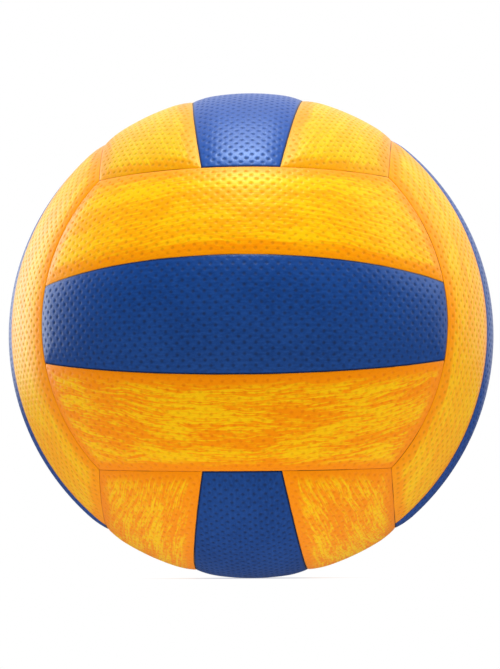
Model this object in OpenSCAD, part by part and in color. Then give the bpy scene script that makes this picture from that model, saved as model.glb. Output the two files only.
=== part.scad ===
// Laminated indoor volleyball: eighteen dimpled cover panels glued over foam on a wound carcass.
// The origin is the centre of the ball, +Z is up, and the valve looks along +Y.

/* [Ball] */
// Diameter of the inflated ball over its panels
ball_d = 210; // [195:1:225]
// How much nearer to its face's centre a middle panel ends than the face's corners lie, over the ball's curve
end_bow = 2.1; // [0.5:0.1:4]
// Half the width of a middle panel at its middle, over the ball's curve
panel_half_width = 24.4; // [22:0.1:27]
// How far the seams beside a middle panel lean, in degrees, so that the panel narrows at its ends
seam_lean = 11.3; // [9:0.1:12.5]

/* [Layers] */
// Thickness of the dimpled cover skin
skin_t = 1; // [0.8:0.1:1.2]
// Thickness of the foam under the skin
foam_t = 2.5; // [2.2:0.1:3]
// Thickness of the rubber carcass that the panels are glued to
carcass_t = 0.6; // [0.4:0.1:1.2]
// Thickness of the wound nylon thread layer
winding_t = 0.4; // [0.3:0.1:0.8]
// Thickness of the bladder wall
bladder_t = 0.6; // [0.4:0.1:1]
// Film of glue between two layers
glue_gap = 0.1; // [0.05:0.01:0.15]

/* [Seams] */
// Width of the gap between two panels
seam_gap = 0.3; // [0.2:0.05:0.5]
// Width of the rolled edge along each side of a seam
roll_w = 7; // [5:0.5:8]
// Depth that the rolled edge falls below the ball at the seam
roll_depth = 1; // [0.8:0.1:1.5]

/* [Valve] */
// Radius of the stem of the valve housing
stem_r = 4; // [3.5:0.1:5]
// Gap between the stem and the layers that it passes through
stem_gap = 0.15; // [0.1:0.05:0.3]
// Depth of the stem's mouth below the ball
stem_recess = 0.5; // [0.3:0.1:0.8]
// Length of the valve housing, from its mouth inwards
valve_l = 21; // [19:0.5:28]
// Radius of the flange that holds the housing inside the bladder
flange_r = 11; // [9:0.5:12.5]
// Thickness of the flange
flange_t = 1.6; // [1.2:0.1:2.5]
// Rubber left under the plug inside the housing
housing_end_t = 1.2; // [0.8:0.1:2]
// Radius of the rubber plug in the housing
plug_r = 2.1; // [1.9:0.1:2.4]
// Gap between the plug and its housing
plug_gap = 0.05; // [0.02:0.01:0.1]
// Radius of the plug's head
plug_head_r = 3; // [2.7:0.1:3.2]
// Thickness of the plug's head
plug_head_t = 1.5; // [1:0.1:2]
// Radius of the hole for the inflating needle
needle_r = 0.95; // [0.8:0.05:1.1]
// Length of the straight hole for the inflating needle
needle_l = 15; // [12:0.5:16]
// Radius of the flared mouth that leads the needle in
mouth_r = 1.7; // [1.4:0.1:1.9]
// Depth of the flared mouth
mouth_depth = 0.7; // [0.5:0.1:1]

/* [Patches] */
// Radius of the reinforcing patch between the flange and the bladder
valve_patch_r = 16; // [13:0.5:20]
// Radius of the balancing patch opposite the valve
balance_patch_r = 15; // [12:0.5:20]
// Thickness of each patch
patch_t = 0.8; // [0.6:0.1:1.2]

/* [Hidden] */
$fn = 96;

// Outer radius of each layer, from the cover inwards
ball_r = ball_d / 2;
foam_r = ball_r - skin_t - glue_gap;
carcass_r = foam_r - foam_t - glue_gap;
winding_r = carcass_r - carcass_t - glue_gap;
bladder_r = winding_r - winding_t - glue_gap;
patch_r = bladder_r - bladder_t - glue_gap;
flange_top_r = patch_r - patch_t - glue_gap;

// A cutter reaches this share of the ball's radius, past all that it cuts
reach_share = 1.2;
reach = reach_share * ball_r;

// A rolled edge is an arc that this many spheres follow, each centred on the seam's own axis
roll_steps = 2;
roll_angle = asin(roll_w / ball_r);

// The angle at the ball's centre of a length over its curve
function over_curve(length) = length / ball_r * 180 / PI;

// Three faces meet at each corner of a cube, this far out along each axis on a ball of radius 1
corner = 1 / sqrt(3);
// A face's outer seam is a flat cut through two corners and through the end of the next face's middle
panel_end = acos(corner) - over_curve(end_bow);
outer_lean = atan((cos(panel_end) - corner) / (sin(panel_end) - corner));
outer_seam = acos(corner * (cos(outer_lean) - sin(outer_lean)));
inner_seam = 90 - over_curve(panel_half_width) + seam_lean;

// Places along the valve's axis
mouth_z = ball_r - stem_recess;
housing_end_z = mouth_z - valve_l;
plug_end_z = housing_end_z + housing_end_t;
needle_top_z = mouth_z - mouth_depth;

// Each face: its name, the turn that brings it from the top, and its strips from -Y to +Y before that turn
FACES = [
    ["front", [90, 0, 0], ["lower", "middle", "upper"]],
    ["back", [90, 0, 180], ["lower", "middle", "upper"]],
    ["right", [180, -90, 0], ["back", "middle", "front"]],
    ["left", [180, -90, 180], ["front", "middle", "back"]],
    ["top", [0, 0, 90], ["right", "middle", "left"]],
    ["bottom", [0, 180, -90], ["left", "middle", "right"]]
];
BALANCE_FACE = FACES[0];
VALVE_FACE = FACES[1];
STRIPS = [-1, 0, 1];

function piece_name(face, strip, what) = str(face[0], "_", face[2][strip + 1], "_", what);
function holds_valve(face, strip) = face == VALVE_FACE && strip == 0;

// The rolled edge at a share of its width from the seam: the angle from the seam's axis, and the radius.
// side is 1 for the edge outside the seam's circle, and -1 for the edge inside it.
function edge_angle(seam, side, share) = seam + side * roll_angle * share;
function edge_radius(share) = ball_r - roll_depth * pow(1 - share, 2);

// Height on the seam's axis of the centre of a sphere through two circles about that axis
function centre_height(angle_a, radius_a, angle_b, radius_b) =
    (radius_a * radius_a - radius_b * radius_b) / (2 * (radius_a * cos(angle_a) - radius_b * cos(angle_b)));
function reach_from(height, angle, radius) =
    sqrt(radius * radius + height * height - 2 * radius * height * cos(angle));

// Stands +Z on the axis of a seam along a strip's +Y side, which leans from +Y towards -Z
module on_long_seam(lean) {
    rotate([-90 - lean, 0, 0]) children();
}

// Stands +Z on the axis of the seam across a strip's +X end, which is the next face's outer seam
module on_end_seam() {
    rotate([0, -outer_lean, 0]) rotate([0, 0, 180]) children();
}

// All below one rolled edge of a layer of this radius
module under_roll(radius, seam, side) {
    intersection_for(step = [1 : roll_steps]) {
        share_a = (step - 1) / roll_steps;
        share_b = step / roll_steps;
        angle_a = edge_angle(seam, side, share_a);
        height = centre_height(angle_a, edge_radius(share_a), edge_angle(seam, side, share_b), edge_radius(share_b));
        translate([0, 0, height])
            sphere(r = reach_from(height, angle_a, edge_radius(share_a)) - (ball_r - radius));
    }
}

// All on one side of the flat cut through a seam, short of half the gap
module one_side(seam, side) {
    height = (ball_r - roll_depth) * cos(seam) - side * seam_gap / 2;
    translate([-reach, -reach, side > 0 ? height - 2 * reach : height])
        cube(2 * reach);
}

// A layer of one strip of the top face as far as its edges fall, with no end to it sideways
module under_strip(radius, strip) {
    intersection() {
        rotate([90, 0, 0]) sphere(r = radius);
        on_end_seam() under_roll(radius, outer_seam, -1);
        rotate([0, 0, 180]) on_end_seam() under_roll(radius, outer_seam, -1);
        if (strip == 0) on_long_seam(seam_lean) under_roll(radius, inner_seam, 1);
        else on_long_seam(seam_lean) under_roll(radius, inner_seam, -1);
        if (strip == 0) rotate([0, 0, 180]) on_long_seam(seam_lean) under_roll(radius, inner_seam, 1);
        else on_long_seam(outer_lean) under_roll(radius, outer_seam, 1);
    }
}

// The same, cut to the strip's own outline
module strip_block(radius, strip) {
    intersection() {
        under_strip(radius, strip);
        on_end_seam() one_side(outer_seam, -1);
        rotate([0, 0, 180]) on_end_seam() one_side(outer_seam, -1);
        if (strip == 0) on_long_seam(seam_lean) one_side(inner_seam, 1);
        else on_long_seam(seam_lean) one_side(inner_seam, -1);
        if (strip == 0) rotate([0, 0, 180]) on_long_seam(seam_lean) one_side(inner_seam, 1);
        else on_long_seam(outer_lean) one_side(outer_seam, 1);
    }
}

// Turns a strip of the top face onto its own face
module on_face(face, strip) {
    rotate(face[1]) rotate([0, 0, strip < 0 ? 180 : 0]) children();
}

module stem_hole() {
    cylinder(r = stem_r + stem_gap, h = reach);
}

module panel(face, strip) {
    color(strip == 0 ? "royalblue" : "orange") on_face(face, strip) difference() {
        strip_block(ball_r, strip);
        under_strip(ball_r - skin_t, strip);
        if (holds_valve(face, strip)) stem_hole();
    }
}

module foam(face, strip) {
    color("white") on_face(face, strip) difference() {
        strip_block(foam_r, strip);
        rotate([90, 0, 0]) sphere(r = carcass_r + glue_gap);
        if (holds_valve(face, strip)) stem_hole();
    }
}

// A closed layer all round, pierced by the valve
module layer(outer_r, wall) {
    rotate(VALVE_FACE[1]) difference() {
        sphere(r = outer_r);
        sphere(r = outer_r - wall);
        stem_hole();
    }
}

module carcass() {
    color("dimgray") layer(carcass_r, carcass_t);
}

module winding_layer() {
    color("ivory") layer(winding_r, winding_t);
}

module bladder() {
    color("black") layer(bladder_r, bladder_t);
}

// A round patch that follows the inside of the ball, about +Z
module round_patch(outer_r, wall, patch_radius) {
    intersection() {
        cylinder(r = patch_radius, h = reach);
        rotate([90, 0, 0]) difference() {
            sphere(r = outer_r);
            sphere(r = outer_r - wall);
        }
    }
}

module valve_patch() {
    color("dimgray") rotate(VALVE_FACE[1]) difference() {
        round_patch(patch_r, patch_t, valve_patch_r);
        stem_hole();
    }
}

module balance_patch() {
    color("dimgray") rotate(BALANCE_FACE[1]) round_patch(patch_r, patch_t, balance_patch_r);
}

module valve_body() {
    color("black") rotate(VALVE_FACE[1]) difference() {
        union() {
            translate([0, 0, housing_end_z]) cylinder(r = stem_r, h = valve_l);
            round_patch(flange_top_r, flange_t, flange_r);
        }
        translate([0, 0, plug_end_z]) cylinder(r = plug_r + plug_gap, h = reach);
        translate([0, 0, mouth_z - plug_head_t - plug_gap]) cylinder(r = plug_head_r + plug_gap, h = reach);
    }
}

module valve_plug() {
    color("dimgray") rotate(VALVE_FACE[1]) difference() {
        union() {
            translate([0, 0, plug_end_z + plug_gap]) cylinder(r = plug_r, h = mouth_z - plug_end_z - plug_gap);
            translate([0, 0, mouth_z - plug_head_t]) cylinder(r = plug_head_r, h = plug_head_t);
        }
        needle_hole();
    }
}

module needle_hole() {
    rotate_extrude() polygon([
        [0, needle_top_z - needle_l],
        [needle_r, needle_top_z - needle_l],
        [needle_r, needle_top_z],
        [mouth_r, mouth_z],
        [mouth_r, reach],
        [0, reach]
    ]);
}

for (face = FACES) for (strip = STRIPS) {
    panel(face, strip);
    foam(face, strip);
}
carcass();
winding_layer();
bladder();
valve_patch();
balance_patch();
valve_body();
valve_plug();
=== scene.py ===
import bmesh
import bpy
import math
import numpy as np
from mathutils import Euler, Matrix, Vector


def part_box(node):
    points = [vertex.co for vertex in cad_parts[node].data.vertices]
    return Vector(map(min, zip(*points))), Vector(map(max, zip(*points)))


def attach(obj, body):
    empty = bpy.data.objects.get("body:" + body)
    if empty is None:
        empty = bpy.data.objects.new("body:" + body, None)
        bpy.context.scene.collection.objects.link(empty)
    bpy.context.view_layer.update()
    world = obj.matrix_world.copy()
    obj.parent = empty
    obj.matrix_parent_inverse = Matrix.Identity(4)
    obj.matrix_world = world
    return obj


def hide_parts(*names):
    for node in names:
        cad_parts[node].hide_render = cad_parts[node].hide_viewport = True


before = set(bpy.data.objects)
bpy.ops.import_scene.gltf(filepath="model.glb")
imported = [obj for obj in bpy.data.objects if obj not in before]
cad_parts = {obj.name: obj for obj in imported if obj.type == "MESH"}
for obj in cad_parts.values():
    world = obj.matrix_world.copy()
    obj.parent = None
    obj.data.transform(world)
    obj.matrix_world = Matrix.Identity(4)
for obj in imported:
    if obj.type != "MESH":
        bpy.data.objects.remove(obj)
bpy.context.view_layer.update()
print("frame loaded,", len(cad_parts), "nodes")

mm = 0.001
scene = bpy.context.scene
scene.view_settings.view_transform = "Standard"
ballRadius = -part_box("bottom_middle_panel")[0].z


def onlySelect(piece):
    bpy.ops.object.select_all(action="DESELECT")
    piece.select_set(True)
    bpy.context.view_layer.objects.active = piece


def applyModifier(piece, kind, **settings):
    onlySelect(piece)
    modifier = piece.modifiers.new(kind.title(), kind)
    for name, value in settings.items():
        setattr(modifier, name, value)
    bpy.ops.object.modifier_apply(modifier=modifier.name)


# From the ball's centre, in degrees round from the front, towards the right, and up
def direction(around, above):
    around, above = math.radians(around), math.radians(above)
    flat = math.cos(above)
    return Vector((math.sin(around) * flat, -math.cos(around) * flat, math.sin(above)))


# Camera, a few millimetres above the floor and a little to the ball's right
viewpoint = {
    "distance": 11 * ballRadius,
    "azimuth": 2.7,
    "elevation": -4.87,
    "roll": -0.28,
    "focalLength": 142.9,
    "aimRight": -0.48 * mm,  # the ball sits a hair off the middle of the picture
    "aimUp": 0.52 * mm,
    "clipEnd": 20,
}


def makeCamera(v):
    bpy.ops.object.camera_add()
    camera = bpy.context.object
    camera.name = "photoCamera"
    out = direction(v["azimuth"], v["elevation"])
    turn = (-out).to_track_quat("-Z", "Y")
    aim = turn @ Vector((v["aimRight"], v["aimUp"], 0))
    camera.location = out * v["distance"]
    look = (aim - camera.location).to_track_quat("-Z", "Y")
    roll = Matrix.Rotation(math.radians(v["roll"]), 3, "Z")
    camera.rotation_euler = (look.to_matrix() @ roll).to_euler()
    camera.data.lens = v["focalLength"]
    camera.data.clip_end = v["clipEnd"]
    scene.camera = camera


makeCamera(viewpoint)
print("camera placed")


# Node helpers for the materials
def newMaterial(name, **shaderValues):
    material = bpy.data.materials.new(name)
    material.use_nodes = True
    shader = material.node_tree.nodes["Principled BSDF"]
    for socket, value in shaderValues.items():
        shader.inputs[socket.replace("_", " ")].default_value = value
    return material, material.node_tree, shader


def feed(tree, socket, value):
    if isinstance(value, bpy.types.NodeSocket):
        tree.links.new(value, socket)
    else:
        socket.default_value = value


def calc(tree, operation, a, b=0.0):
    node = tree.nodes.new("ShaderNodeMath")
    node.operation = operation
    feed(tree, node.inputs[0], a)
    feed(tree, node.inputs[1], b)
    return node.outputs[0]


def remap(tree, value, low, high, toLow=0.0, toHigh=1.0):
    node = tree.nodes.new("ShaderNodeMapRange")
    node.interpolation_type = "SMOOTHSTEP"
    for socket, number in zip(node.inputs, (value, low, high, toLow, toHigh)):
        feed(tree, socket, number)
    return node.outputs[0]


def blendColor(tree, factor, under, over, mode="MIX"):
    node = tree.nodes.new("ShaderNodeMix")
    node.data_type = "RGBA"
    node.blend_type = mode
    factorSocket, underSocket, overSocket = node.inputs[0], node.inputs[6], node.inputs[7]
    feed(tree, factorSocket, factor)
    feed(tree, underSocket, under)
    feed(tree, overSocket, over)
    return node.outputs[2]


def noise(tree, place, scale, detail=2.0, roughness=0.5, distortion=0.0):
    node = tree.nodes.new("ShaderNodeTexNoise")
    feed(tree, node.inputs["Vector"], place)
    node.inputs["Scale"].default_value = scale
    node.inputs["Detail"].default_value = detail
    node.inputs["Roughness"].default_value = roughness
    node.inputs["Distortion"].default_value = distortion
    return node.outputs[0]


def stretched(tree, place, sizes, offset):
    node = tree.nodes.new("ShaderNodeMapping")
    feed(tree, node.inputs["Vector"], place)
    node.inputs["Scale"].default_value = tuple(1 / size for size in sizes)
    node.inputs["Location"].default_value = offset
    return node.outputs[0]


# A stretched noise, from a dictionary that needs only its size each way
def pattern(tree, place, look):
    placed = stretched(tree, place, look["size"], look.get("offset", (0.0, 0.0, 0.0)))
    return noise(tree, placed, 1, look.get("detail", 2.0), look.get("roughness", 0.5),
                 look.get("distortion", 0.0))


def bump(tree, height, distance):
    node = tree.nodes.new("ShaderNodeBump")
    feed(tree, node.inputs["Height"], height)
    node.inputs["Distance"].default_value = distance
    return node.outputs[0]


def splitPlace(tree, place):
    node = tree.nodes.new("ShaderNodeSeparateXYZ")
    feed(tree, node.inputs[0], place)
    return node.outputs[0], node.outputs[1]


def joinPlace(tree, x, y):
    node = tree.nodes.new("ShaderNodeCombineXYZ")
    feed(tree, node.inputs[0], x)
    feed(tree, node.inputs[1], y)
    return node.outputs[0]


def objectPlace(tree):
    return tree.nodes.new("ShaderNodeTexCoord").outputs["Object"]


def sheetPlace(tree):
    node = tree.nodes.new("ShaderNodeUVMap")
    node.uv_map = "sheet"
    return node.outputs[0]


def pieceValue(tree, name):
    node = tree.nodes.new("ShaderNodeAttribute")
    node.attribute_name = name
    return node.outputs["Fac"]


def linear(red, green, blue):
    def one(level):
        share = level / 255
        return share / 12.92 if share <= 0.04045 else ((share + 0.055) / 1.055) ** 2.4
    return (one(red), one(green), one(blue), 1.0)


# Embossed dimples, on a square grid that stands on its corner
dimple = {
    "gridAngle": 0.25,  # degrees round the ball between two mesh lines, both ways
    "pitchCells": 10,  # mesh cells between two dimples along a row
    "reachShare": 0.32,  # half a dimple's width, as a share of the grid's spacing
    "floorShare": 0.08,  # the same at its flat floor
    "depth": 0.2 * mm,
    "squareness": 2.4,  # 2 is round
    "plainEdge": 0.5 * mm,  # pressed flat this near to a seam
    "fullEdge": 2.5 * mm,  # and at full depth from here on
}
cellSize = math.radians(dimple["gridAngle"]) * ballRadius
pitch = dimple["pitchCells"] * cellSize


def smooth(share):
    share = np.clip(share, 0, 1)
    return share * share * (3 - 2 * share)


def dimpleShape(along, across):
    first, second = (along + across) / pitch, (along - across) / pitch
    first, second = np.abs(first - np.round(first)), np.abs(second - np.round(second))
    power = dimple["squareness"]
    away = (first ** power + second ** power) ** (1 / power)
    return smooth((dimple["reachShare"] - away) / (dimple["reachShare"] - dimple["floorShare"]))


# Outline of the strips and their pressed edges. Each seam is a circle about its own axis.
strip = {
    "endBow": 2.1 * mm,  # how far the middle of a face's outer seam stays inside its corners
    "halfWidth": 24.4 * mm,  # of the middle strip, at its middle
    "seamLean": math.radians(11.3),  # tilt of the circle that bounds the middle strip
    "gap": 0.14 * mm,
    "skin": 1.0 * mm,
    "rollWidth": 10 * mm,
    "rollDepth": 0.9 * mm,
    "creaseWidth": 1.5 * mm,
    "creaseDepth": 0.14 * mm,
    "rollPower": 2,
    "cornerPower": 6,  # how nearly a corner is pressed no deeper than a seam
    "backingShare": 0.05,  # share of the mesh kept on the hidden inner side
    "spinMerge": 0.02 * mm,
    "cutMerge": 0.08 * mm,
    "smoothAngle": math.radians(50),
}
corner = 1 / math.sqrt(3)
stripEnd = math.acos(corner) - strip["endBow"] / ballRadius
outerLean = math.atan((math.cos(stripEnd) - corner) / (math.sin(stripEnd) - corner))
outerSeam = math.acos(corner * (math.cos(outerLean) - math.sin(outerLean)))
innerSeam = math.pi / 2 - strip["halfWidth"] / ballRadius + strip["seamLean"]


def longAxis(lean):
    return Vector((0, math.cos(lean), -math.sin(lean)))


halfTurn = Matrix.Rotation(math.pi, 3, "Z")
endAxis = Vector((-math.sin(outerLean), 0, math.cos(outerLean)))
innerAxis = longAxis(strip["seamLean"])

# Each kind of strip: its tilt from the middle of the face, half its reach both ways in degrees,
# and its seams as axis, angle and side, where side 1 lies outside the seam's circle
stripKinds = {
    "middle": {
        "tilt": 0,
        "reachAlong": 55,
        "reachAcross": 15,
        "seams": [(endAxis, outerSeam, -1), (halfTurn @ endAxis, outerSeam, -1),
                  (innerAxis, innerSeam, 1), (halfTurn @ innerAxis, innerSeam, 1)],
    },
    "outer": {
        "tilt": 26,
        "reachAlong": 56,
        "reachAcross": 19,
        "seams": [(endAxis, outerSeam, -1), (halfTurn @ endAxis, outerSeam, -1),
                  (innerAxis, innerSeam, -1), (longAxis(outerLean), outerSeam, 1)],
    },
}

# The hole for the valve, with a smooth sunk ring round it
valveHole = {
    "radius": 4.15 * mm,
    "sides": 96,
    "ring": 7 * mm,  # half its width
    "ringEdge": 1 * mm,  # over which it rises to the dimples
    "ringDepth": 0.25 * mm,
    "cutDepth": 8 * mm,
}


# Spin leaves its faces in another order each run, so they are sorted by their points
def steadyFaces(piece):
    mesh = piece.data
    points = [vertex.co.copy() for vertex in mesh.vertices]
    rings = []
    for face in mesh.polygons:
        ring = list(face.vertices)
        if face.normal.dot(face.center) < 0:
            ring.reverse()
        start = ring.index(min(ring))
        rings.append(ring[start:] + ring[:start])
    mesh.clear_geometry()
    mesh.from_pydata(points, [], sorted(rings))


# An arc across the top of the ball is spun along it into an eighth of the patch,
# which is then doubled until the patch is whole
def spunPatch(name, reachAlong, reachAcross, doublings=3):
    bpy.ops.object.select_all(action="DESELECT")
    cells = round(360 / dimple["gridAngle"])
    bpy.ops.mesh.primitive_circle_add(vertices=cells, radius=ballRadius,
                                      rotation=(0, math.pi / 2 + math.radians(reachAlong), 0))
    piece = bpy.context.object
    piece.name = name
    bpy.ops.object.transform_apply(location=True, rotation=True, scale=True)
    bpy.ops.object.mode_set(mode="EDIT")
    bpy.ops.mesh.select_all(action="DESELECT")
    work = bmesh.from_edit_mesh(piece.data)
    tooFar = ballRadius * math.sin(math.radians(reachAcross))
    for vertex in work.verts:
        vertex.select = vertex.co.z < 0 or abs(vertex.co.y) > tooFar
    work.select_flush(True)
    bmesh.update_edit_mesh(piece.data)
    bpy.ops.mesh.delete(type="VERT")
    bpy.ops.mesh.select_all(action="SELECT")
    spun = 2 * reachAlong / 2 ** doublings
    bpy.ops.mesh.spin(steps=round(spun / dimple["gridAngle"]), angle=math.radians(spun),
                      center=(0, 0, 0), axis=(0, 1, 0))
    for doubling in range(doublings):
        bpy.ops.mesh.select_all(action="SELECT")
        bpy.ops.mesh.duplicate()
        bpy.ops.transform.rotate(value=math.radians(spun), orient_axis="Y", orient_type="GLOBAL",
                                 center_override=(0, 0, 0))
        spun = 2 * spun
    bpy.ops.mesh.select_all(action="SELECT")
    bpy.ops.mesh.remove_doubles(threshold=strip["spinMerge"])
    bpy.ops.object.mode_set(mode="OBJECT")
    steadyFaces(piece)
    return piece


def readPoints(piece):
    points = np.empty(len(piece.data.vertices) * 3)
    piece.data.vertices.foreach_get("co", points)
    return points.reshape(-1, 3)


def writePoints(piece, points):
    piece.data.vertices.foreach_set("co", points.ravel())
    piece.data.update()


def seamDistances(points, seams):
    units = points / np.linalg.norm(points, axis=1)[:, None]
    return [side * (np.arccos(np.clip(units @ np.array(axis), -1, 1)) - angle) * ballRadius
            for axis, angle, side in seams]


def pressedDepth(distances):
    def pressed(distance, depth, width):
        return depth * np.clip(1 - distance / width, 0, 1) ** strip["rollPower"]
    total = 0
    for distance in distances:
        roll = pressed(distance, strip["rollDepth"], strip["rollWidth"])
        crease = pressed(distance, strip["creaseDepth"], strip["creaseWidth"])
        total = total + (roll + crease) ** strip["cornerPower"]
    return total ** (1 / strip["cornerPower"])


def cutStrip(name, kind, hasValve=False):
    shape = stripKinds[kind]
    tilt = Matrix.Rotation(math.radians(shape["tilt"]), 3, "X")
    seams = [(tilt @ axis, angle, side) for axis, angle, side in shape["seams"]]
    piece = spunPatch(name, shape["reachAlong"], shape["reachAcross"])
    bpy.ops.object.mode_set(mode="EDIT")
    for axis, angle, side in seams:
        height = ballRadius * math.cos(angle) - side * strip["gap"] / 2
        bpy.ops.mesh.select_all(action="SELECT")
        bpy.ops.mesh.bisect(plane_co=axis * height, plane_no=axis, clear_inner=side < 0,
                            clear_outer=side > 0, threshold=strip["spinMerge"])
    bpy.ops.mesh.select_all(action="SELECT")
    bpy.ops.mesh.remove_doubles(threshold=strip["cutMerge"])
    bpy.ops.mesh.normals_make_consistent(inside=False)
    bpy.ops.object.mode_set(mode="OBJECT")
    middle = piece.data.polygons[len(piece.data.polygons) // 2]
    if middle.normal.dot(middle.center) < 0:
        bpy.ops.object.mode_set(mode="EDIT")
        bpy.ops.mesh.flip_normals()
        bpy.ops.object.mode_set(mode="OBJECT")

    # The edges are pressed down before the skin gets its thickness, so its walls stand square
    points = readPoints(piece)
    depth = pressedDepth(seamDistances(points, seams))
    writePoints(piece, points * (1 - depth / ballRadius)[:, None])
    piece.vertex_groups.new(name="backing")
    piece.vertex_groups.new(name="rim")
    outerCount = len(piece.data.vertices)
    applyModifier(piece, "SOLIDIFY", thickness=strip["skin"], offset=-1, material_offset=1,
                  shell_vertex_group="backing", rim_vertex_group="rim")
    rim = piece.vertex_groups["rim"].index
    edge = [vertex.index for vertex in piece.data.vertices
            if any(group.group == rim and group.weight > 0 for group in vertex.groups)]
    piece.vertex_groups["backing"].remove(edge)
    faceCount = len(piece.data.polygons)
    keep = (faceCount - outerCount * (1 - strip["backingShare"])) / faceCount
    applyModifier(piece, "DECIMATE", ratio=keep, vertex_group="backing")
    if hasValve:
        bpy.ops.mesh.primitive_cylinder_add(
            vertices=valveHole["sides"], radius=valveHole["radius"], depth=valveHole["cutDepth"],
            location=(0, 0, ballRadius))
        cutter = bpy.context.object
        applyModifier(piece, "BOOLEAN", object=cutter, operation="DIFFERENCE")
        bpy.data.objects.remove(cutter)

    # Dimples go into the outer side only, and stop short of the seams and of the valve
    points = readPoints(piece)
    radii = np.linalg.norm(points, axis=1)
    distances = seamDistances(points, seams)
    nearest = np.min(distances, axis=0)
    smoothTop = ballRadius - pressedDepth(distances)
    outside = radii > smoothTop - strip["skin"] / 2
    along = ballRadius * np.arctan2(points[:, 0], points[:, 2])
    across = ballRadius * np.arcsin(points[:, 1] / radii)
    fade = smooth((nearest - dimple["plainEdge"]) / (dimple["fullEdge"] - dimple["plainEdge"]))
    sunk = 0
    if hasValve:
        away = np.hypot(points[:, 0], points[:, 1])
        ring = smooth((away - valveHole["ring"]) / valveHole["ringEdge"])
        fade = fade * ring
        sunk = valveHole["ringDepth"] * (1 - ring)
    moved = radii - outside * (dimple["depth"] * dimpleShape(along, across) * fade + sunk)
    writePoints(piece, points * (moved / radii)[:, None])

    # The materials read each point's place in the uncut sheet and how far the nearest seam is
    sheet = piece.data.uv_layers.new(name="sheet")
    corners = np.empty(len(piece.data.loops), dtype=np.int32)
    piece.data.loops.foreach_get("vertex_index", corners)
    places = np.stack([along, across], axis=1)[corners]
    sheet.data.foreach_set("uv", places.ravel())
    seamWay = piece.data.attributes.new("seamDistance", "FLOAT", "POINT")
    seamWay.data.foreach_set("value", nearest)
    piece.vertex_groups.clear()
    onlySelect(piece)
    bpy.ops.object.shade_smooth_by_angle(angle=strip["smoothAngle"])
    print(name, len(piece.data.vertices), "points", len(piece.data.polygons), "faces")
    return piece


# Cover material, a dimpled synthetic leather that is printed before it is cut.
# A range gives the values at which an effect starts and is full, and then its share at both.
cover = {
    "roughness": 0.34,
    "pitRoughness": 0.25,  # added in the pits
    "grainSize": 0.35 * mm,
    "grainDetail": 3,
    "grainRoughness": 0.6,
    "grainDepth": 0.02 * mm,
    "mottle": {"size": (2.6 * mm, 1.1 * mm, 1.0), "detail": 3, "roughness": 0.6},
}
yellowLook = {
    "color": linear(253, 142, 0),
    "sheen": (1.0, 0.72, 0.1, 1.0),
    "specular": 0.42,
    "streak": linear(255, 201, 8),
    "streakRange": (-0.035, 0.055),
    "streakStrength": 0.9,
    "wave": {"size": (36 * mm, 20 * mm, 1.0)},  # bends the streaks
    "waveHeight": 4 * mm,
    "stroke": {"size": (19 * mm, 1.2 * mm, 1.0), "detail": 3, "roughness": 0.55,
               "distortion": 0.7},
    "strokeWeight": 0.4,
    "hair": {"size": (8 * mm, 0.45 * mm, 1.0), "offset": (3.0, 7.0, 0.0), "detail": 4,
             "roughness": 0.65, "distortion": 0.9},
    "hairWeight": 0.8,
    "patch": {"size": (38 * mm, 9 * mm, 1.0), "offset": (11.0, 5.0, 0.0)},
    "patchWeight": 0.42,
    "marginRange": (2 * mm, 7.5 * mm),  # the band along a seam that has no streaks
    "marginRagged": 7 * mm,  # how far the strokes push it about
    "paintedSheenFloor": 0.78,  # painted sheen: share of the paler streak colour all over a strip fully in painted sheen
    "paintedSheenMargin": 0.5,  # and in its margin, as painted sheen
    # Painted shade: darkens the top strips against the strong light from above, over this range of
    # painted sheen
    "paintedTopShade": (0.8, 0.93, 0.85, 1.0),
    "paintedTopShadeRange": (0.5, 0.75),
    "mottleAndPitShade": (0.55, 0.3, 0.1, 1.0),  # painted shade: what the yellow is multiplied by in a pit, and by the random mottle
    "paintedPitShadeStrength": 0.25,
    "paintedSheenPitShade": (0.78, 0.9, 0.7, 1.0),  # painted shade in a pit, once more on strips with painted sheen
    "mottleRange": (0.5, 0.32, 0.0, 0.16),
    "seamShade": linear(120, 66, 4),  # painted shade along the cut edge in the seam
    "seamShadeStrength": 0.6,
    "seamShadeRange": (0.4 * mm, 0.08 * mm),
    "seamShadeSize": 14 * mm,  # length over which the painted seam shade comes and goes
    "seamShadeDetail": 2,
    "breakRange": (0.42, 0.58, 0.05, 1.0),
    "leftLampFade": (-65 * mm, -20 * mm, 0.15, 1.0),  # across the ball, from its left; painted: the seam shade is fainter on the left, where the left lamp lights the groove
}
blueLook = {
    "color": linear(15, 61, 132),
    "sheen": (0.38, 0.6, 1.0, 1.0),
    "specular": 0.52,
    "lift": linear(32, 80, 158),
    "cloud": {"size": (30 * mm, 20 * mm, 1.0), "detail": 3},
    "cloudRange": (0.3, 0.75, 0.0, 0.3),
    # Painted sheen: a paler blue on the strips that face the lamps
    "pale": linear(40, 105, 225),
    "paintedSheenShare": 0.22,
    "liftRange": (0.48, 0.68, 0.0, 0.4),
    "mottleRange": (0.5, 0.32, 0.0, 0.25),
    # Painted shade in the pits; the same darker blue also serves the random mottle
    "mottleAndPitShadeColor": linear(7, 24, 66),
    "paintedPitShadeStrength": 0.5,
    # Painted shade along the seam's cut edge
    "seamShade": linear(10, 18, 48),
    "seamShadeStrength": 0.9,
    "seamShadeRange": (0.9 * mm, 0.2 * mm),
}
backingLook = {
    "dark": linear(196, 190, 178),
    "pale": linear(228, 224, 214),
    "roughness": 0.9,
    "grainSize": 0.5 * mm,
    "grainDetail": 2,
    "grainDepth": 0.05 * mm,
}


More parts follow.
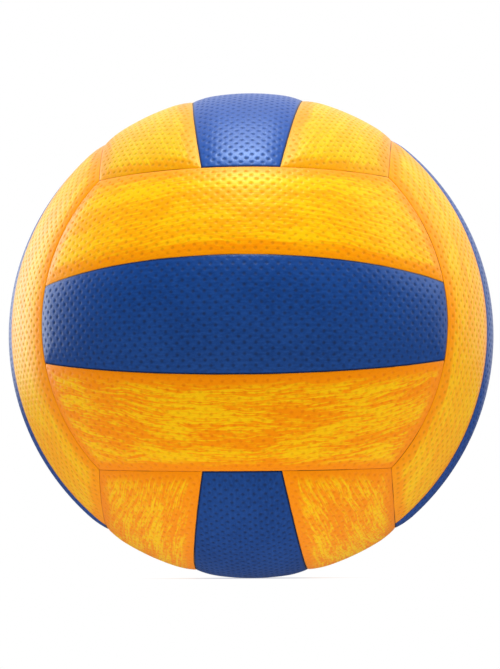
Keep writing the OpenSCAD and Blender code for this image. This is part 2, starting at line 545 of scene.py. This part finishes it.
def dimplePattern(tree, along, across):
    def fromGridLine(place):
        share = calc(tree, "DIVIDE", place, pitch)
        return calc(tree, "ABSOLUTE", calc(tree, "SUBTRACT", share, calc(tree, "ROUND", share)))
    power = dimple["squareness"]
    first = calc(tree, "POWER", fromGridLine(calc(tree, "ADD", along, across)), power)
    second = calc(tree, "POWER", fromGridLine(calc(tree, "SUBTRACT", along, across)), power)
    away = calc(tree, "POWER", calc(tree, "ADD", first, second), 1 / power)
    return remap(tree, away, dimple["reachShare"], dimple["floorShare"])


# What both colours share. It also returns the sheet's coordinates, the distance from the seam
# and the pits of the dimples.
def coverBase(name, look):
    material, tree, shader = newMaterial(name, Specular_IOR_Level=look["specular"],
                                         Specular_Tint=look["sheen"])
    place = sheetPlace(tree)
    edge = pieceValue(tree, "seamDistance")
    pits = calc(tree, "MULTIPLY", dimplePattern(tree, *splitPlace(tree, place)),
                remap(tree, edge, dimple["plainEdge"], dimple["fullEdge"]))
    grain = noise(tree, objectPlace(tree), 1 / cover["grainSize"], cover["grainDetail"],
                  cover["grainRoughness"])
    feed(tree, shader.inputs["Normal"], bump(tree, grain, cover["grainDepth"]))
    feed(tree, shader.inputs["Roughness"],
         calc(tree, "ADD", cover["roughness"], calc(tree, "MULTIPLY", pits, cover["pitRoughness"])))
    return material, tree, shader, place, edge, pits


# Painted shade along the seam's cut edge: a thin dark line that comes and goes, faint on the ball's
# left
def paintedSeamShade(tree, edge, look):
    near = remap(tree, edge, *look["seamShadeRange"])
    place = objectPlace(tree)
    broken = remap(tree, noise(tree, place, 1 / look["seamShadeSize"], look["seamShadeDetail"]),
                   *look["breakRange"])
    faint = remap(tree, splitPlace(tree, place)[0], *look["leftLampFade"])
    seamShade = calc(tree, "MULTIPLY", calc(tree, "MULTIPLY", near, broken), faint)
    return calc(tree, "MULTIPLY", seamShade, look["seamShadeStrength"])


def yellowCover(look):
    material, tree, shader, place, edge, pits = coverBase("yellowCover", look)

    def centred(value, width):
        return calc(tree, "MULTIPLY", calc(tree, "SUBTRACT", value, 0.5), width)

    # Streaks, from long strokes, short hairs and broad patches that follow a wavy flow
    along, across = splitPlace(tree, place)
    wave = centred(pattern(tree, place, look["wave"]), 2 * look["waveHeight"])
    flow = joinPlace(tree, along, calc(tree, "ADD", across, wave))
    stroke = pattern(tree, flow, look["stroke"])
    mixed = calc(tree, "ADD", centred(stroke, look["strokeWeight"]),
                 centred(pattern(tree, flow, look["hair"]), look["hairWeight"]))
    mixed = calc(tree, "ADD", mixed,
                 centred(pattern(tree, flow, look["patch"]), look["patchWeight"]))
    streaks = remap(tree, mixed, *look["streakRange"])

    # Painted sheen: strips that face the lamps get more of the streaks' paler colour between them
    # and in the margin
    paintedSheen = pieceValue(tree, "paintedSheen")
    floor = calc(tree, "MULTIPLY", paintedSheen, look["paintedSheenFloor"])
    streaks = calc(tree, "ADD", floor,
                   calc(tree, "MULTIPLY", streaks, calc(tree, "SUBTRACT", 1.0, floor)))
    ragged = calc(tree, "ADD", edge, centred(stroke, look["marginRagged"]))
    inner = calc(tree, "MAXIMUM", remap(tree, ragged, *look["marginRange"]),
                 calc(tree, "MULTIPLY", paintedSheen, look["paintedSheenMargin"]))
    streaks = calc(tree, "MULTIPLY", calc(tree, "MULTIPLY", streaks, inner), look["streakStrength"])
    color = blendColor(tree, streaks, look["color"], look["streak"])
    # Painted shade: the top strips, with the most painted sheen, are darkened against the strong
    # light from above
    topShadeShare = remap(tree, paintedSheen, *look["paintedTopShadeRange"])
    color = blendColor(tree, topShadeShare, color, look["paintedTopShade"], "MULTIPLY")

    mottle = remap(tree, pattern(tree, place, cover["mottle"]), *look["mottleRange"])
    # Painted shade in the pits of the dimples, once more on strips with painted sheen; the mottle
    # is random tone
    paintedPitShade = calc(tree, "MULTIPLY", pits, look["paintedPitShadeStrength"])
    color = blendColor(tree, mottle, color, look["mottleAndPitShade"], "MULTIPLY")
    color = blendColor(tree, paintedPitShade, color, look["mottleAndPitShade"], "MULTIPLY")
    color = blendColor(tree, calc(tree, "MULTIPLY", pits, paintedSheen), color, look["paintedSheenPitShade"],
                       "MULTIPLY")
    # Painted shade along the seam
    color = blendColor(tree, paintedSeamShade(tree, edge, look), color, look["seamShade"])
    feed(tree, shader.inputs["Base Color"], color)
    return material


def blueCover(look):
    material, tree, shader, place, edge, pits = coverBase("blueCover", look)
    cloud = remap(tree, pattern(tree, place, look["cloud"]), *look["cloudRange"])
    color = blendColor(tree, cloud, look["color"], look["lift"])
    # Painted sheen on the strips that face the lamps
    pale = calc(tree, "MULTIPLY", pieceValue(tree, "paintedSheen"), look["paintedSheenShare"])
    color = blendColor(tree, pale, color, look["pale"])
    mottle = pattern(tree, place, cover["mottle"])
    color = blendColor(tree, remap(tree, mottle, *look["liftRange"]), color, look["lift"])
    color = blendColor(tree, remap(tree, mottle, *look["mottleRange"]), color, look["mottleAndPitShadeColor"])
    # Painted shade in the pits
    color = blendColor(tree, calc(tree, "MULTIPLY", pits, look["paintedPitShadeStrength"]), color, look["mottleAndPitShadeColor"])
    # Painted shade along the seam's cut edge
    seamShade = calc(tree, "MULTIPLY", remap(tree, edge, *look["seamShadeRange"]), look["seamShadeStrength"])
    color = blendColor(tree, seamShade, color, look["seamShade"])
    feed(tree, shader.inputs["Base Color"], color)
    return material


# A plain matt material with fine grain, for the backing cloth and the foam
def softMaterial(name, look):
    material, tree, shader = newMaterial(name, Roughness=look["roughness"])
    grain = noise(tree, objectPlace(tree), 1 / look["grainSize"], look["grainDetail"])
    feed(tree, shader.inputs["Base Color"], blendColor(tree, grain, look["dark"], look["pale"]))
    feed(tree, shader.inputs["Normal"], bump(tree, grain, look["grainDepth"]))
    return material


yellow, blue = yellowCover(yellowLook), blueCover(blueLook)
cloth = softMaterial("backingCloth", backingLook)
print("cover materials made")

# The faces: the turn that brings each from the top, and its strips from -Y to +Y before that turn
faces = {
    "front": ((90, 0, 0), ("lower", "middle", "upper")),
    "back": ((90, 0, 180), ("lower", "middle", "upper")),
    "right": ((180, -90, 0), ("back", "middle", "front")),
    "left": ((180, -90, 180), ("front", "middle", "back")),
    "top": ((0, 0, 90), ("right", "middle", "left")),
    "bottom": ((0, 180, -90), ("left", "middle", "right")),
}
sheetStep = (23, 9)  # how many dimples along and across each strip is cut from the last one
# These strips face the top and side lamps and get a painted sheen: paler, with weaker streaks
paintedSheenStrips = {"top": 0.75, "front_upper": 0.5, "left": 0.5, "right": 0.5}


def laidStrip(master, name, turn, kind, side, count):
    onlySelect(master)
    bpy.ops.object.duplicate(linked=False)
    piece = bpy.context.object
    piece.name = name
    faceTurn = Euler([math.radians(angle) for angle in turn]).to_matrix()
    tilt = Matrix.Rotation(-math.radians(stripKinds[kind]["tilt"]), 3, "X")
    whole = faceTurn @ (halfTurn if side < 0 else Matrix.Identity(3)) @ tilt
    piece.rotation_euler = whole.to_euler()
    bpy.ops.object.transform_apply(location=False, rotation=True, scale=False)
    sheet = piece.data.uv_layers["sheet"]
    places = np.empty(len(sheet.data) * 2)
    sheet.data.foreach_get("uv", places)
    places = places.reshape(-1, 2) + np.array(sheetStep) * count * pitch
    sheet.data.foreach_set("uv", places.ravel())
    # Painted sheen, strip by strip
    paintedSheenValues = piece.data.attributes.new("paintedSheen", "FLOAT", "POINT")
    pale = next((share for start, share in paintedSheenStrips.items()
                 if name.startswith("cover_" + start)), 0.0)
    paintedSheenValues.data.foreach_set("value", np.full(len(paintedSheenValues.data), pale))
    piece.data.materials.append(blue if kind == "middle" else yellow)
    piece.data.materials.append(cloth)
    return piece


masters = {
    "middle": cutStrip("middleMaster", "middle"),
    "outer": cutStrip("outerMaster", "outer"),
    "valve": cutStrip("valveMaster", "middle", hasValve=True),
}
count = 0
for face, (turn, strips) in faces.items():
    for side, stripName in zip((-1, 0, 1), strips):
        node = f"{face}_{stripName}_panel"
        kind = "middle" if side == 0 else "outer"
        master = masters["valve" if node == "back_middle_panel" else kind]
        piece = laidStrip(master, f"cover_{face}_{stripName}", turn, kind, side, count)
        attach(piece, "root")
        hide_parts(node)
        count += 1
for master in masters.values():
    bpy.data.objects.remove(master)
print("strips laid")


# Materials for the pieces kept from the frame
foamLook = {
    "dark": linear(206, 204, 194),
    "pale": linear(236, 234, 226),
    "roughness": 0.85,
    "grainSize": 0.3 * mm,
    "grainDetail": 3,
    "grainDepth": 0.05 * mm,
}
threadLook = {
    "dark": linear(188, 180, 160),
    "pale": linear(232, 228, 214),
    "roughness": 0.6,
    "spacing": 3 * mm,
    "distortion": 4,
    "depth": 0.1 * mm,
}
rubberLook = {
    "bloomSize": 6 * mm,
    "bloomDetail": 3,
    "grainDetail": 3,
    "grainRange": (0.2, 0.8),
    "roughnessSpread": 0.08,
    "grainDepth": 0.02 * mm,
}


def rubber(name, dark, pale, grainSize, roughness):
    material, tree, shader = newMaterial(name, Roughness=roughness)
    place = objectPlace(tree)
    bloom = noise(tree, place, 1 / rubberLook["bloomSize"], rubberLook["bloomDetail"])
    grain = noise(tree, place, 1 / grainSize, rubberLook["grainDetail"])
    spread = rubberLook["roughnessSpread"]
    feed(tree, shader.inputs["Base Color"], blendColor(tree, bloom, dark, pale))
    feed(tree, shader.inputs["Roughness"],
         remap(tree, grain, *rubberLook["grainRange"], roughness - spread, roughness + spread))
    feed(tree, shader.inputs["Normal"], bump(tree, grain, rubberLook["grainDepth"]))
    return material


def woundThread(look):
    material, tree, shader = newMaterial("woundThread", Roughness=look["roughness"])
    threads = tree.nodes.new("ShaderNodeTexWave")
    threads.inputs["Scale"].default_value = 1 / look["spacing"]
    threads.inputs["Distortion"].default_value = look["distortion"]
    feed(tree, threads.inputs["Vector"], objectPlace(tree))
    shade = threads.outputs["Fac"]
    feed(tree, shader.inputs["Base Color"], blendColor(tree, shade, look["dark"], look["pale"]))
    feed(tree, shader.inputs["Normal"], bump(tree, shade, look["depth"]))
    return material


# By the ends of the nodes' names
nodeFinish = {
    "foam": softMaterial("softFoam", foamLook),
    "carcass": rubber("carcassRubber", linear(38, 38, 40), linear(62, 62, 64), 0.4 * mm, 0.7),
    "winding_layer": woundThread(threadLook),
    "bladder": rubber("bladderRubber", linear(14, 14, 15), linear(30, 30, 32), 0.6 * mm, 0.45),
    "patch": rubber("patchRubber", linear(42, 42, 44), linear(70, 70, 72), 0.4 * mm, 0.7),
    "valve_body": rubber("housingRubber", linear(20, 20, 22), linear(38, 38, 40), 0.3 * mm, 0.5),
    "valve_plug": rubber("plugRubber", linear(58, 58, 60), linear(84, 84, 86), 0.3 * mm, 0.6),
}
for name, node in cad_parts.items():
    finish = next((made for ending, made in nodeFinish.items() if name.endswith(ending)), None)
    if finish is None:
        continue
    node.data.materials.clear()
    node.data.materials.append(finish)
print("inner pieces finished")


# Floor, world and lamps
studio = {
    "floorSize": 12,
    "floor": linear(242, 242, 242),
    "floorGlow": (0.45, 1.0),  # share of plain white that is seen, under the ball and away from it
    "floorGlowReach": (0.01, 0.055),  # metres from where the ball stands
    "floorGloss": 0.1,  # brightness of the floor in the ball's gloss
    "floorFill": 1.12,  # and for the light that it throws back up
    # The world's brightness from front (-1) to back (1), as plain light and in the ball's gloss
    "ambient": (0.8, -0.8, 0.32, 0.52),
    "backdropGloss": (-0.3, 0.5, 0.0, 1.0),
    # Each lamp: degrees round from the front, towards the right, and up, metres wide, and watts
    "lamps": {
        "keySoftbox": {"around": 0, "above": 75, "size": 0.36, "power": 8.5},
        "topSoftbox": {"around": 180, "above": 86, "size": 0.5, "power": 2.8},
        "leftSoftbox": {"around": -120, "above": 12, "size": 0.9, "power": 4.7},
        "rightSoftbox": {"around": 92, "above": 34, "size": 0.9, "power": 3.3},
    },
    "lampDistance": 1.1,
}


def seenRays(tree, kinds):
    path = tree.nodes.new("ShaderNodeLightPath")
    total = path.outputs[kinds[0]]
    for kind in kinds[1:]:
        total = calc(tree, "MAXIMUM", total, path.outputs[kind])
    return total


def makeFloor(s):
    bpy.ops.object.select_all(action="DESELECT")
    bpy.ops.mesh.primitive_plane_add(size=s["floorSize"], location=(0, 0, -ballRadius))
    floor = bpy.context.object
    floor.name = "studioFloor"
    material = bpy.data.materials.new("studioFloor")
    material.use_nodes = True
    tree = material.node_tree
    tree.nodes.clear()
    diffuse = tree.nodes.new("ShaderNodeBsdfDiffuse")
    diffuse.inputs["Color"].default_value = s["floor"]
    glow = tree.nodes.new("ShaderNodeEmission")
    mix = tree.nodes.new("ShaderNodeMixShader")
    output = tree.nodes.new("ShaderNodeOutputMaterial")
    seen = seenRays(tree, ["Is Camera Ray", "Is Transmission Ray"])
    glossy = seenRays(tree, ["Is Glossy Ray"])

    # The camera sees the floor white but for the ball's shadow, and other rays see its glow alone
    away = tree.nodes.new("ShaderNodeVectorMath")
    away.operation = "LENGTH"
    feed(tree, away.inputs[0], objectPlace(tree))
    share = remap(tree, away.outputs["Value"], *s["floorGlowReach"], *s["floorGlow"])
    share = calc(tree, "MAXIMUM", calc(tree, "MULTIPLY", seen, share),
                 calc(tree, "SUBTRACT", 1.0, seen))
    tree.links.new(share, mix.inputs[0])
    bounced = calc(tree, "SUBTRACT", 1.0, calc(tree, "MAXIMUM", seen, glossy))
    strength = calc(tree, "MAXIMUM", seen, calc(tree, "MULTIPLY", bounced, s["floorFill"]))
    strength = calc(tree, "MAXIMUM", strength, calc(tree, "MULTIPLY", glossy, s["floorGloss"]))
    feed(tree, glow.inputs["Strength"], strength)
    material.cycles.emission_sampling = "NONE"
    tree.links.new(diffuse.outputs[0], mix.inputs[1])
    tree.links.new(glow.outputs[0], mix.inputs[2])
    tree.links.new(mix.outputs[0], output.inputs["Surface"])
    floor.data.materials.append(material)


def makeWorld(s):
    world = bpy.data.worlds.new("studioWorld")
    scene.world = world
    world.use_nodes = True
    tree = world.node_tree
    background = tree.nodes["Background"]
    background.inputs["Color"].default_value = (1, 1, 1, 1)
    outwards = splitPlace(tree, tree.nodes.new("ShaderNodeTexCoord").outputs["Generated"])[1]
    backdrop = remap(tree, outwards, *s["backdropGloss"])
    glossy = seenRays(tree, ["Is Glossy Ray"])
    seen = seenRays(tree, ["Is Camera Ray", "Is Transmission Ray"])
    rest = calc(tree, "SUBTRACT", 1.0, calc(tree, "MAXIMUM", seen, glossy))
    strength = calc(tree, "MULTIPLY", glossy, backdrop)
    ambient = remap(tree, outwards, *s["ambient"])
    strength = calc(tree, "ADD", strength, calc(tree, "MULTIPLY", rest, ambient))
    strength = calc(tree, "MAXIMUM", strength, seen)
    tree.links.new(strength, background.inputs["Strength"])


def makeLamp(name, lamp, distance):
    out = direction(lamp["around"], lamp["above"])
    bpy.ops.object.light_add(type="AREA", location=out * distance)
    light = bpy.context.object
    light.name = name
    light.data.shape = "DISK"
    light.data.size = lamp["size"]
    light.data.energy = lamp["power"]
    light.rotation_euler = (-out).to_track_quat("-Z", "Y").to_euler()
    light.visible_camera = False


makeFloor(studio)
makeWorld(studio)
for name, lamp in studio["lamps"].items():
    makeLamp(name, lamp, studio["lampDistance"])
print("studio lit")
